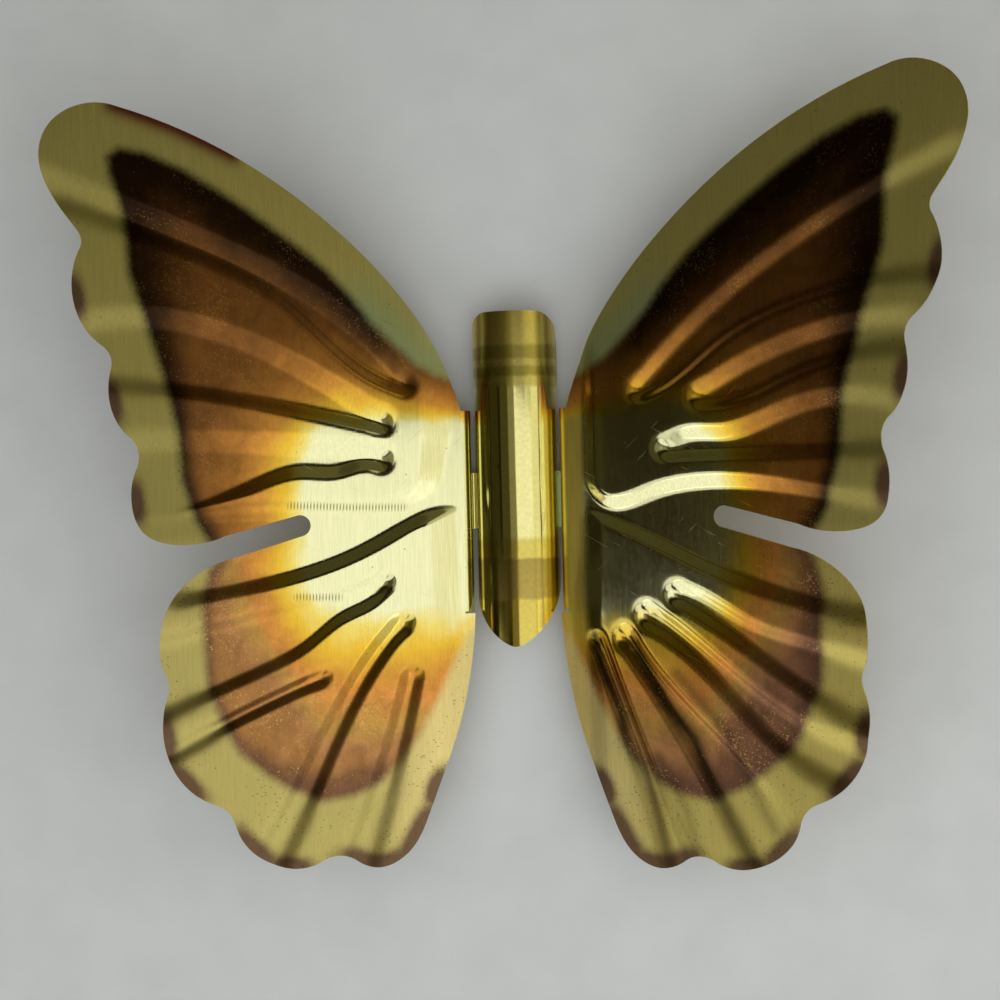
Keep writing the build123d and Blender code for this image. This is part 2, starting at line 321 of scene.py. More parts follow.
def wingOutline(local, tris):  # rim of the front skin, from the root top round to the root bottom
    a, b, c = (local[tris[:, i]] for i in range(3))
    normal = np.cross(b - a, c - a)
    tilt = normal[:, 2] / np.maximum(np.linalg.norm(normal, axis=1), 1e-12)
    front = tris[tilt > wing["rimTilt"]]
    sides = np.sort(np.concatenate([front[:, [0, 1]], front[:, [1, 2]], front[:, [2, 0]]]), 1)
    ends, uses = np.unique(sides, axis=0, return_counts=True)
    joined = {}
    near = wing["rimGap"]
    for p, q in ends[uses == 1]:
        u = local[[p, q], 0]
        v = local[[p, q], 1]
        beside = u.max() < wing["bend"] + near and v.max() < wing["rootTop"] + near
        if beside and v.min() > wing["rootBottom"] - wing["rootReach"]:  # the root's own edge
            continue
        joined.setdefault(p, []).append(q)
        joined.setdefault(q, []).append(p)
    start = min(joined, key=lambda i: math.dist(local[i, :2], (wing["bend"], wing["rootTop"])))
    chain = [start]
    seen = {start}
    while True:
        ahead = [q for q in joined[chain[-1]] if q not in seen]
        if not ahead:
            break
        chain.append(ahead[0])
        seen.add(ahead[0])
    line = [tuple(local[chain[0], :2])]
    for i in chain[1:]:
        if math.dist(local[i, :2], line[-1]) > near:
            line.append(tuple(local[i, :2]))
    return line


def tintDepth(points):  # mm inside the edge of the dark tint
    gap = lineDistance(points, tintEdge + tintEdge[:1])
    return np.where(insideLoop(points, tintEdge), gap, -gap)


def blurred(grid, spread):
    reach = math.ceil(3 * spread)
    for axis in (0, 1):
        grid = sum(math.exp(-0.5 * (i / spread) ** 2) * np.roll(grid, i, axis)
                   for i in range(-reach, reach + 1))
    return grid


def reliefMap(local, tris, own):  # height of the stamped face, its edges rounded as pressing leaves them
    tree = BVHTree.FromPolygons([tuple(p) for p in local], [tuple(int(i) for i in t) for t in tris])
    step = wing["meshStep"] / 2
    border = wing["mapBorder"]
    top, floor = wing["probeHeights"]
    bendFoot = wing["rootBottom"] - wing["bendRelief"] / 2
    first = np.floor(local[:, :2].min(0) / step).astype(int) - border
    last = np.ceil(local[:, :2].max(0) / step).astype(int) + border
    height = np.zeros(last - first + 1)
    solid = np.zeros(last - first + 1)
    down = Vector((0, 0, -1))
    for i in range(first[0] + border, last[0] - border + 1):
        for j in range(first[1] + border, last[1] - border + 1):
            if i * step < wing["bend"] and j * step > bendFoot:
                solid[i - first[0], j - first[1]] = i * step > 0  # the bend starts level
                continue
            hit = tree.ray_cast(Vector((i * step, j * step, top)), down)[0]
            if hit is not None and hit.z > floor:
                solid[i - first[0], j - first[1]] = 1
                height[i - first[0], j - first[1]] = hit.z
    fine, capped, soft = (
        blurred(height * solid, spread / step) / np.maximum(blurred(solid, spread / step), 1e-12)
        for spread in (wing["edgeSpread"], wing["capSpread"], wing["marginSpread"]))
    u, v = np.meshgrid(*(np.arange(first[i], last[i] + 1) * step for i in (0, 1)), indexing="ij")
    capGap = np.min([np.hypot(u - cu - wing["capShift"], v - cv) for cu, cv in own["caps"]], axis=0)
    atCap = np.clip((wing["capReach"] - capGap) / wing["capFade"], 0, 1)
    spots = np.stack([u.ravel(), v.ravel()], 1)
    easing = np.clip((wing["marginStart"] - tintDepth(spots)) / wing["marginFade"], 0, 1)
    for line in own["softLines"]:
        beside = (wing["softReach"] - lineDistance(spots, line)) / wing["softFade"]
        easing = np.maximum(easing, np.clip(beside, 0, 1))
    easing = easing.reshape(u.shape)
    return (fine * (1 - atCap) + capped * atCap) * (1 - easing) + soft * easing, first, step


def readMap(grid, first, step, points):
    spot = points / step - first
    cell = np.clip(np.floor(spot + 1e-6).astype(int), 0, np.array(grid.shape) - 2)
    a, b = np.clip(spot - cell, 0, 1).T
    i, j = cell.T
    return ((1 - a) * (1 - b) * grid[i, j] + a * (1 - b) * grid[i + 1, j]
            + (1 - a) * b * grid[i, j + 1] + a * b * grid[i + 1, j + 1])


def formWing(name, own):
    side, out, face, corner = wingAxes(name)
    local, tris = stampedFace(name, out, face, corner)
    rim = wingOutline(local, tris)
    bendRun = wing["bend"] * math.pi / 2
    flangeStart = wing["bend"] - bendRun
    foot = flangeStart - (wing["flangeTop"] - wing["flangeFoot"])
    slotLow = flangeStart - (wing["flangeTop"] - wing["slotTop"])
    slotHigh = flangeStart - (wing["flangeTop"] - wing["slotFoot"])
    root = [(wing["bend"], wing["rootBottom"]), (foot, wing["rootBottom"]), (foot, wing["rootTop"])]
    ends = wing["slotEnds"]
    slot = [(slotHigh, ends[0]), (slotLow, ends[0]), (slotLow, ends[1]), (slotHigh, ends[1])]
    flat, faces = cutBlank(rim + root, [slot], wing["meshStep"])

    bent = (flat[:, 0] < wing["bend"]) & (flat[:, 1] > wing["rootBottom"] - wing["bendRelief"] / 2)
    height = np.where(bent, 0, readMap(*reliefMap(local, tris, own), flat))
    span = wing["rippleSpan"]
    ripple = np.array([noise.noise((u / span, v / span, side * wing["rippleSeed"])) for u, v in flat])
    fade = np.clip((flat[:, 0] - wing["rippleStart"]) / wing["rippleFade"], 0, 1)
    height += np.where(bent, 0, wing["ripple"] * ripple * fade)
    print(name, "rim points", len(rim), "points", len(flat), "triangles", len(faces))

    # bend the root down to the hinge bar
    turn = np.clip((wing["bend"] - flat[:, 0]) / wing["bend"], 0, math.pi / 2)
    fallen = np.maximum(0, flangeStart - flat[:, 0])
    u = np.where(bent, wing["bend"] - wing["bend"] * np.sin(turn), flat[:, 0])
    h = np.where(bent, -wing["bend"] * (1 - np.cos(turn)) - fallen, height)
    places = corner + (u[:, None] * out + h[:, None] * face + flat[:, 1:] * np.array([[0, 1, 0]])) * mm
    if side < 0:
        faces = faces[:, ::-1]
    piece = meshPiece(name + "Sheet", places, faces)

    # tint fields, in mm
    plan = np.stack([u, flat[:, 1]], 1)
    outward, upward = plan.T
    addField(piece, "tintDepth", tintDepth(plan))
    duskGap = lineDistance(plan, tintEdge[tint["duskFrom"]:tint["duskTo"]])  # the tint darkens outwards only
    duskReach = np.interp(upward, *zip(*(own["dusk"] + tint["foreDusk"])))
    addField(piece, "dusk", duskGap / duskReach)
    corners = tint["paleCorner"]
    offPale = np.abs(plan - np.array(tint["paleMiddle"])) - np.array(tint["paleHalf"]) + corners
    rootGap = np.hypot(*np.maximum(offPale, 0).T) + np.minimum(offPale.max(1), 0) - corners
    nearRoot = np.clip((tint["hurryFrom"] - outward) / tint["hurryOver"], 0, 1)
    hurry = 1 + tint["hurryBy"] * nearRoot * (upward > 0)
    slacken = np.where(upward < 0, np.interp(outward, tint["slackenAt"], tint["slackenBy"]), 1)
    addField(piece, "rootGap", np.where(rootGap > 0, rootGap * hurry * slacken, rootGap))
    addField(piece, "hind", np.clip((tint["hindFrom"] - upward) / tint["hindOver"], 0, 1))
    scorch = np.zeros(len(plan))
    for su, sv, radius in scorched:
        scorch = np.maximum(scorch, np.exp(-((outward - su) ** 2 + (upward - sv) ** 2) / radius ** 2))
    addField(piece, "scorch", scorch * np.exp(-(lineDistance(plan, rim) / tint["scorchReach"]) ** 2))
    addField(piece, "costalHaze", alongLines(plan, tint["hazeLines"], tint["hazeSpread"]))
    addField(piece, "blush", alongLines(plan, own["blushLines"], tint["blushSpread"]))
    marks = np.zeros(len(plan))
    for line in own["combLines"]:
        pressed = tint["combFull"] - lineDistance(plan, line) / tint["combFade"]
        marks = np.maximum(marks, np.clip(pressed, 0, 1))
    addField(piece, "pressMarks", marks)
    # painted shade along the flutes, standing for dark reflections
    paintedShade = np.zeros(len(plan))
    for thick, lines in own["paintedShade"]:
        paintedShade = np.maximum(paintedShade, thick * alongLines(plan, lines, tint["paintedShadeSpread"]))
    addField(piece, "paintedShade", paintedShade)
    addField(piece, "outward", outward)
    thicken(piece, wing["sheet"] * mm)
    keepInside(piece, name)
    return piece


def startFinish(name):
    finish = bpy.data.materials.new(name)
    finish.use_nodes = True
    tree = finish.node_tree
    tree.nodes.clear()
    return finish, tree


tint = {
    "pale": "#f5f3bb",
    "lemon": "#f3dd70",
    "yellow": "#efc23a",
    "orange": "#d6963a",
    "copper": "#b87c34",
    "brown": "#8a5a28",
    "dark": "#2a1a0c",
    "hindOrange": "#dc9a3c",
    "hindPink": "#dc9346",
    "hindOlive": "#c99a4c",
    "hindCopper": "#ba8450",
    "plum": "#6a4a3a",
    "margin": "#b9ad62",
    "innerMargin": "#f4df92",
    "scorch": "#644539",
    "haze": "#9fae7c",
    "blush": "#6d3324",
    "speckle": "#e0b468",
    "paintedShade": "#2c2010",
    # colour of the painted shade beside the flutes
    "speck": "#3c3016",
    "combMark": "#6f6a2e",
    # where the tints lie, in mm
    "foreDusk": [(5, 5), (20, 5.5), (35, 9), (50, 16), (65, 24), (80, 28)],  # as in each wing's dusk
    "duskFrom": 3,           # the points of the tint's edge that are dark
    "duskTo": -6,
    "paleMiddle": (19, 0),   # the pale field at the root
    "paleHalf": (24, 23.2),
    "paleCorner": 12,
    "hurryBy": 1.6,          # the tint comes sooner here
    "hurryFrom": 22,
    "hurryOver": 16,
    "slackenAt": (40, 52),   # and later here
    "slackenBy": (0.75, 1.2),
    "hindFrom": -3,
    "hindOver": 6,
    "scorchReach": 3.8,
    "hazeLines": [[(10, 36), (19, 44), (28, 51)]],
    "hazeSpread": 6,
    "blushSpread": 2.2,
    "combFull": 1.6,
    "combFade": 0.7,
    "paintedShadeSpread": 1.6,
}

grainOf = {                  # mm
    "cloud": 8.0,            # drifts of the tint
    "mottle": 0.9,
    "smut": 6.5,             # smoky blotches
    "flake": 0.55,
    "flakePatch": 11.0,
    "speck": 4.5,            # one in so many
    "pin": (1.5, 0.8, 1.5),
    "comb": 0.8,             # from tooth to tooth
    "brush": (0.35, 9.0, 0.35),  # lines, drawn coarse enough to show
    "stipple": 1.3,
    "scratchWays": (0.75, -0.5),  # radians
    "scratch": (0.012, 0.00022, 0.012),  # m
    "bump": 0.00004,         # m
}


def tintedBrass(name, own):
    # brass sheet, polished, under flamed tint and clear lacquer: mirror-like, pale at the root,
    # through yellow and orange to brown, with a bare greenish-gold margin
    finish, tree = startFinish(name)
    spot = addNode(tree, "TexCoord", out=3)
    shift = (own["seed"], own["seed"] * 2, 0)
    inMm = addNode(tree, "Mapping", inputs={0: spot, 1: shift, 3: (1 / mm, 1 / mm, 1 / mm)})
    fieldOf = {key: addNode(tree, "Attribute", {"attribute_name": key}, out=2)
               for key in ("tintDepth", "dusk", "rootGap", "hind", "scorch", "costalHaze", "blush",
                           "pressMarks", "outward", "paintedShade")}
    cloud = addNode(tree, "TexNoise", inputs={0: inMm, 2: 1 / grainOf["cloud"], 3: 4.0, 4: 0.6})
    grain = addNode(tree, "TexNoise", inputs={0: inMm, 2: 1 / grainOf["mottle"], 3: 3.0, 4: 0.6})
    drift = addNode(tree, "Math", timesPlus, {0: cloud, 1: 7.0, 2: -3.5})
    ragged = addNode(tree, "Math", timesPlus, {0: grain, 1: 1.2, 2: -0.6})

    # root to tint
    gap = addNode(tree, "Math", plus, {0: fieldOf["rootGap"], 1: drift})
    along = addNode(tree, "MapRange", inputs={0: gap, 1: -8.0, 2: 32.0})
    foreTint = addNode(tree, "ValToRGB", inputs={0: along}, ramp=[
        (0.0, tint["pale"]), (0.18, tint["pale"]), (0.25, tint["lemon"]), (0.32, tint["yellow"]),
        (0.44, tint["orange"]), (0.58, tint["copper"]), (0.85, tint["brown"])])
    hindTint = addNode(tree, "ValToRGB", inputs={0: along}, ramp=[
        (0.0, tint["pale"]), (0.18, tint["pale"]), (0.26, tint["lemon"]), (0.36, tint["yellow"]),
        (0.50, tint["hindOrange"]), (0.60, tint["hindPink"]), (0.72, tint["hindOlive"]),
        (0.84, tint["hindCopper"]), (0.97, own["hindFar"])])

    # darker towards the edge of the tint
    depth = addNode(tree, "Math", plus, {0: fieldOf["tintDepth"], 1: ragged})
    slow = addNode(tree, "Math", timesPlus, {0: drift, 1: 0.05, 2: fieldOf["dusk"]})
    foreDusk = addNode(tree, "MapRange", smooth, {0: slow, 1: 0.95, 2: 0.1, 3: 0.0, 4: 0.97})
    hindDusk = addNode(tree, "MapRange", smooth, {0: slow, 1: 1.0, 2: 0.0, 3: 0.0, 4: 0.85})
    far = addNode(tree, "MapRange", smooth, {0: gap, 1: 2.0, 2: 18.0})
    foreDark = addNode(tree, "Math", times, {0: foreDusk, 1: far})
    clear = addNode(tree, "MapRange", inputs={0: fieldOf["outward"], 1: 11.0, 2: 24.0, 3: 0.15, 4: 1.0})
    foreDark = addNode(tree, "Math", times, {0: foreDark, 1: clear})
    hindDark = addNode(tree, "Math", times, {0: hindDusk, 1: far})
    foreTint = addNode(tree, "Mix", tinting, {0: foreDark, 6: foreTint, 7: hexColour(tint["dark"])}, out=2)
    hindTint = addNode(tree, "Mix", tinting, {0: hindDark, 6: hindTint, 7: hexColour(tint["plum"])}, out=2)
    field = addNode(tree, "Mix", tinting, {0: fieldOf["hind"], 6: foreTint, 7: hindTint}, out=2)

    # smoky blotches
    smut = addNode(tree, "TexNoise", inputs={0: inMm, 2: 1 / grainOf["smut"], 3: 5.0, 4: 0.68, 8: 0.6})
    smoke = addNode(tree, "MapRange", inputs={0: smut, 1: 0.34, 2: 0.66, 3: 0.76, 4: 1.14})
    field = addNode(tree, "Mix", shading, {0: far, 6: field, 7: smoke}, out=2)

    # bare margin
    rim = addNode(tree, "Mix", tinting,
                  {0: fieldOf["hind"], 6: hexColour(tint["margin"]), 7: hexColour(own["hindMargin"])}, out=2)
    inner = addNode(tree, "MapRange", inputs={0: fieldOf["outward"], 1: 27.0, 2: 11.0})
    inner = addNode(tree, "Math", times, {0: inner, 1: fieldOf["hind"]})
    rim = addNode(tree, "Mix", tinting, {0: inner, 6: rim, 7: hexColour(tint["innerMargin"])}, out=2)
    rim = addNode(tree, "Mix", tinting,
                  {0: addNode(tree, "Math", times, {0: fieldOf["costalHaze"], 1: 0.75}),
                   6: rim, 7: hexColour(tint["haze"])}, out=2)
    inField = addNode(tree, "MapRange", smooth, {0: depth, 1: -1.7, 2: 1.7})
    colour = addNode(tree, "Mix", tinting, {0: inField, 6: rim, 7: field}, out=2)

    # scorched lobes and a red-brown blush on the leading edge
    burn = addNode(tree, "Math", timesPlus, {0: ragged, 1: 0.16, 2: fieldOf["scorch"]})
    burn = addNode(tree, "MapRange", smooth, {0: burn, 1: 0.1, 2: 0.72, 3: 0.0, 4: 0.9})
    colour = addNode(tree, "Mix", tinting, {0: burn, 6: colour, 7: hexColour(tint["scorch"])}, out=2)
    colour = addNode(tree, "Mix", tinting,
                     {0: fieldOf["blush"], 6: colour, 7: hexColour(tint["blush"])}, out=2)

    # painted shade along the flutes: dark bars standing for dark reflections
    paintedShadeMix = addNode(tree, "MapRange", inputs={0: inField, 3: 0.68, 4: 0.92})
    paintedShadeMix = addNode(tree, "Math", times, {0: fieldOf["paintedShade"], 1: paintedShadeMix})
    colour = addNode(tree, "Mix", tinting, {0: paintedShadeMix, 6: colour, 7: hexColour(tint["paintedShade"])}, out=2)

    # the polishing wheel misses the valley beside the body
    valley = addNode(tree, "MapRange", inputs={0: fieldOf["outward"], 1: 9.0, 2: 6.5})
    kept = addNode(tree, "MapRange", smooth, {0: gap, 1: 6.0, 2: 0.0, 3: 0.0, 4: 0.8})
    kept = addNode(tree, "Math", times, {0: kept, 1: valley})
    colour = addNode(tree, "Mix", tinting, {0: kept, 6: colour, 7: hexColour(own["valley"])}, out=2)

    # gold speckle where the tint has flaked
    flake = addNode(tree, "TexNoise", inputs={0: inMm, 2: 1 / grainOf["flake"], 3: 2.0, 4: 0.7})
    patch = addNode(tree, "TexNoise", inputs={0: inMm, 2: 1 / grainOf["flakePatch"], 3: 2.0, 4: 0.5})
    thin = addNode(tree, "MapRange", inputs={0: patch, 1: 0.42, 2: 0.68, 3: -0.02, 4: 0.13})
    level = addNode(tree, "Math", plus, {0: flake, 1: thin})
    spark = addNode(tree, "MapRange", inputs={0: level, 1: 0.66, 2: 0.72, 3: 0.0, 4: 0.7})
    spark = addNode(tree, "Math", times, {0: spark, 1: inField})
    spark = addNode(tree, "Math", times, {0: spark, 1: far})
    often = addNode(tree, "MapRange", inputs={0: fieldOf["hind"], 3: 0.25, 4: 1.0})
    spark = addNode(tree, "Math", times, {0: spark, 1: often})
    colour = addNode(tree, "Mix", tinting, {0: spark, 6: colour, 7: hexColour(tint["speckle"])}, out=2)

    # dark specks in the lacquer, pin-sized ones on the margin
    cell = addNode(tree, "TexVoronoi", inputs={0: inMm, 2: 1 / grainOf["speck"]})
    dot = addNode(tree, "MapRange", inputs={0: cell, 1: 0.055, 2: 0.03, 3: 0.0, 4: 0.6})
    pinScale = tuple(1 / size for size in grainOf["pin"])
    pinSpot = addNode(tree, "Mapping", inputs={0: inMm, 2: (0, 0, 0.6), 3: pinScale})
    pin = addNode(tree, "TexVoronoi", inputs={0: pinSpot, 2: 1.0})
    crowd = addNode(tree, "MapRange", inputs={0: patch, 1: 0.38, 2: 0.62, 3: 0.02, 4: 0.2})
    pins = addNode(tree, "Math", {"operation": "LESS_THAN"}, {0: pin, 1: crowd})
    bareHere = addNode(tree, "MapRange", inputs={0: inField, 3: 0.5, 4: 0.0})
    pins = addNode(tree, "Math", times, {0: pins, 1: bareHere})
    pins = addNode(tree, "Math", times, {0: pins, 1: often})
    dot = addNode(tree, "Math", larger, {0: dot, 1: pins})
    colour = addNode(tree, "Mix", tinting, {0: dot, 6: colour, 7: hexColour(tint["speck"])}, out=2)

    # comb-like press marks
    phase = addNode(tree, "Math", times, {0: fieldOf["outward"], 1: 2 * math.pi / grainOf["comb"]})
    teeth = addNode(tree, "Math", {"operation": "SINE"}, {0: phase})
    teeth = addNode(tree, "MapRange", inputs={0: teeth, 1: 0.0, 2: 0.5, 3: 0.0, 4: 0.75})
    comb = addNode(tree, "Math", times, {0: teeth, 1: fieldOf["pressMarks"]})
    colour = addNode(tree, "Mix", tinting, {0: comb, 6: colour, 7: hexColour(tint["combMark"])}, out=2)

    # hairline scratches, two ways across
    hairs = []
    for turn in grainOf["scratchWays"]:
        lay = addNode(tree, "Mapping", {"vector_type": "TEXTURE"},
                      {0: spot, 2: (0, 0, turn), 3: grainOf["scratch"]})
        hair = addNode(tree, "TexNoise", inputs={0: lay, 2: 1.0, 3: 1.0, 4: 0.5})
        hairs.append(addNode(tree, "MapRange", inputs={0: hair, 1: 0.755, 2: 0.8}))
    hairline = addNode(tree, "Math", larger, {0: hairs[0], 1: hairs[1]})

    # brushing runs with the body, stipple on the margin
    strokeScale = tuple(1 / mm / size for size in grainOf["brush"])
    strokes = addNode(tree, "Mapping", inputs={0: spot, 3: strokeScale})
    brushed = addNode(tree, "TexNoise", inputs={0: strokes, 2: 1.0, 3: 3.0, 4: 0.6})
    stipple = addNode(tree, "TexNoise", inputs={0: inMm, 2: 1 / grainOf["stipple"], 3: 2.0, 4: 0.5})
    polish = addNode(tree, "MapRange", inputs={0: gap, 1: 0.0, 2: 22.0, 3: 0.07, 4: 0.30})
    bare = addNode(tree, "MapRange", inputs={0: fieldOf["hind"], 3: 0.52, 4: 0.36})
    matt = addNode(tree, "Mix", inputs={0: inField, 2: bare, 3: polish})
    dull = addNode(tree, "Math", timesPlus, {0: stipple, 1: 0.06, 2: matt})
    rough = addNode(tree, "Math", timesPlus, {0: brushed, 1: 0.06, 2: dull})
    rough = addNode(tree, "Math", timesPlus, {0: hairline, 1: 0.3, 2: rough})
    rough = addNode(tree, "Math", timesPlus, {0: valley, 1: own["valleyDull"], 2: rough})
    shade = addNode(tree, "MapRange", inputs={0: brushed, 1: 0.3, 2: 0.7, 3: 0.9, 4: 1.05})
    colour = addNode(tree, "Mix", shading, {0: 1.0, 6: colour, 7: shade}, out=2)
    relief = addNode(tree, "Mix", inputs={0: inField, 2: stipple, 3: brushed})
    bump = addNode(tree, "Bump", inputs={0: 0.12, 1: grainOf["bump"], 3: relief})
    metal = addNode(tree, "BsdfPrincipled", inputs={
        "Base Color": colour, "Metallic": 1.0, "Roughness": rough, "Normal": bump,
        "Coat Weight": 0.1, "Coat Roughness": 0.15})
    addNode(tree, "OutputMaterial", inputs={0: metal})
    return finish


def bodyBrass():
    # polished brass tube, unlacquered: a clear mirror between straight-edged tarnish bands,
    # with a little verdigris at the hinge, painted paler than the crust itself as painted light against the
    # shade between body and wing
    finish, tree = startFinish("polishedBodyBrass")
    spot = addNode(tree, "TexCoord", out=3)
    inMm = addNode(tree, "Mapping", inputs={0: spot, 3: (1 / mm, 1 / mm, 1 / mm)})
    axes = addNode(tree, "SeparateXYZ", inputs={0: inMm}, out=1)
    cloud = addNode(tree, "TexNoise", inputs={0: inMm, 2: 1 / shell["cloud"], 3: 4.0, 4: 0.6})
    shift = addNode(tree, "Math", timesPlus, {0: cloud, 1: 1.6, 2: -0.8})
    height = addNode(tree, "Math", plus, {0: axes, 1: shift})
    along = addNode(tree, "MapRange", inputs={0: height, 1: shell["tailTip"], 2: shell["headTop"]})
    bands = addNode(tree, "ValToRGB", inputs={0: along}, ramp=[
        (0.0, "#e0cb64"), (0.14, "#dcc65e"), (0.15, "#b8a354"), (0.262, "#ae9a4e"), (0.27, "#deca66"),
        (0.318, "#dacb68"), (0.334, "#f3eba0"), (0.77, "#f2e99c"), (0.782, "#d6c76c"), (0.803, "#d6c66a"),
        (0.811, "#aa9b48"), (0.833, "#ae9f4a"), (0.841, "#cfbf66"), (0.856, "#cfbf66"), (0.862, "#ad9d4a"),
        (0.895, "#b1a14c"), (0.905, "#d8c668"), (1.0, "#d0b95a")])
    worn = addNode(tree, "ValToRGB", inputs={0: along}, ramp=[
        (0.0, "#505050"), (0.14, "#606060"), (0.15, "#c0c0c0"), (0.262, "#c0c0c0"), (0.27, "#909090"),
        (0.318, "#808080"), (0.334, "#000000"), (0.77, "#000000"), (0.782, "#d8d8d8"), (0.86, "#ffffff"),
        (1.0, "#ffffff")])
    fine = addNode(tree, "TexNoise", inputs={0: inMm, 2: 1 / shell["mottle"], 3: 3.0, 4: 0.6})
    dusk = addNode(tree, "MapRange", inputs={0: fine, 1: 0.3, 2: 0.75, 3: 1.03, 4: 0.9})
    colour = addNode(tree, "Mix", shading, {0: 1.0, 6: bands, 7: dusk}, out=2)
    dashSpot = addNode(tree, "Mapping", inputs={0: spot, 2: (0, 0, 0.4), 3: shell["nickScale"]})
    dash = addNode(tree, "TexVoronoi", inputs={0: dashSpot, 2: 1 / shell["nick"]})
    nick = addNode(tree, "MapRange", inputs={0: dash, 1: 0.06, 2: 0.035, 3: 0.0, 4: 0.75})
    colour = addNode(tree, "Mix", tinting, {0: nick, 6: colour, 7: hexColour(shell["nickColour"])}, out=2)
    polish = addNode(tree, "MapRange", inputs={0: worn, 3: 0.07, 4: 0.26})
    rough = addNode(tree, "Math", timesPlus, {0: fine, 1: 0.05, 2: polish})
    # verdigris on the tabs: real crust, in a pale colour that carries painted light
    green = addNode(tree, "Attribute", {"attribute_name": "verdigris"}, out=2)
    crust = addNode(tree, "Math", timesPlus, {0: shift, 1: 0.25, 2: green})
    crust = addNode(tree, "MapRange", inputs={0: crust, 1: 0.45, 2: 0.6})
    colour = addNode(tree, "Mix", tinting, {0: crust, 6: colour, 7: hexColour(shell["greenColour"])}, out=2)
    rough = addNode(tree, "Mix", inputs={0: crust, 2: rough, 3: 0.8})
    shine = addNode(tree, "MapRange", inputs={0: crust, 3: 1.0, 4: 0.1})
    metal = addNode(tree, "BsdfPrincipled", inputs={
        "Base Color": colour, "Metallic": shine, "Roughness": rough})
    addNode(tree, "OutputMaterial", inputs={0: metal})
    return finish


strap = {
    "rolling": (6.0, 0.5, 0.5),  # mm, streaks of the rolling grain
    "colours": ("#8d7434", "#ab9044", "#c2a755"),
}


def strapBrass():
    # rolled brass strip, never polished: dull yellow-brown with a soft rolling grain
    finish, tree = startFinish("rolledStrapBrass")
    spot = addNode(tree, "TexCoord", out=3)
    rolled = addNode(tree, "Mapping", inputs={0: spot, 3: tuple(1 / mm / size for size in strap["rolling"])})
    grain = addNode(tree, "TexNoise", inputs={0: rolled, 2: 1.0, 3: 3.0, 4: 0.6})
    colour = addNode(tree, "ValToRGB", inputs={0: grain}, ramp=list(zip((0.25, 0.5, 0.75), strap["colours"])))
    rough = addNode(tree, "MapRange", inputs={0: grain, 1: 0.3, 2: 0.7, 3: 0.28, 4: 0.42})
    metal = addNode(tree, "BsdfPrincipled", inputs={
        "Base Color": colour, "Metallic": 1.0, "Roughness": rough})
    addNode(tree, "OutputMaterial", inputs={0: metal})
    return finish


shell = {
    "sheet": 0.6,
    "radius": 10.5,
    "edgeHeight": 2.118,     # mm, lower edge of the half tube above the back plane
    "headTop": 12.0,
    "headCorner": 4.5,
    "tailStart": -55.0,
    "tailTip": -71.0,
    "tailSide": (7.77, -64.6),
    "meshStep": 0.7,
    "tabEnds": (-41.5, -27.5),
    "curl": 1.359,           # mm, outside radius of the curled tab
    "curlTurn": 270,         # degrees
    "cornerSteps": 12,
    "tailSteps": 40,
    "tabRows": 29,
    "tabRun": 6,
    "curlSteps": 40,
    "bluntRounds": 14,       # times the tip is eased
    "bluntReach": 1.6,       # mm
    "dent": 0.05,            # mm, hand-rolled unevenness
    "dentSpan": (16, 22),    # mm
    "dentSeed": 7.0,
    "inset": 0.06,           # mm, room for the dents
    "rightGreen": 0.75,      # verdigris on the tabs
    "leftGreen": 0.2,
    # verdigris colour, painted paler than the crust itself: painted light in the shade between body and wing
    "greenColour": "#c8e4b0",
    "cloud": 4.0,            # mm, drifts of the tarnish
    "mottle": 1.1,           # mm
    "nick": 5.0,             # mm, one in so many
    "nickScale": (1000, 380, 1000),  # per m, longer along the body
    "nickColour": "#2e260f",
}


def threePointArc(a, b, c, count):
    ax, ay, bx, by, cx, cy = *a, *b, *c
    d = 2 * (ax * (by - cy) + bx * (cy - ay) + cx * (ay - by))
    x = ((ax**2 + ay**2) * (by - cy) + (bx**2 + by**2) * (cy - ay) + (cx**2 + cy**2) * (ay - by)) / d
    y = ((ax**2 + ay**2) * (cx - bx) + (bx**2 + by**2) * (ax - cx) + (cx**2 + cy**2) * (bx - ax)) / d
    first = math.atan2(ay - y, ax - x)
    last = math.atan2(cy - y, cx - x)
    radius = math.hypot(ax - x, ay - y)
    return [(x + radius * math.cos(first + (last - first) * i / count),
             y + radius * math.sin(first + (last - first) * i / count)) for i in range(count + 1)]


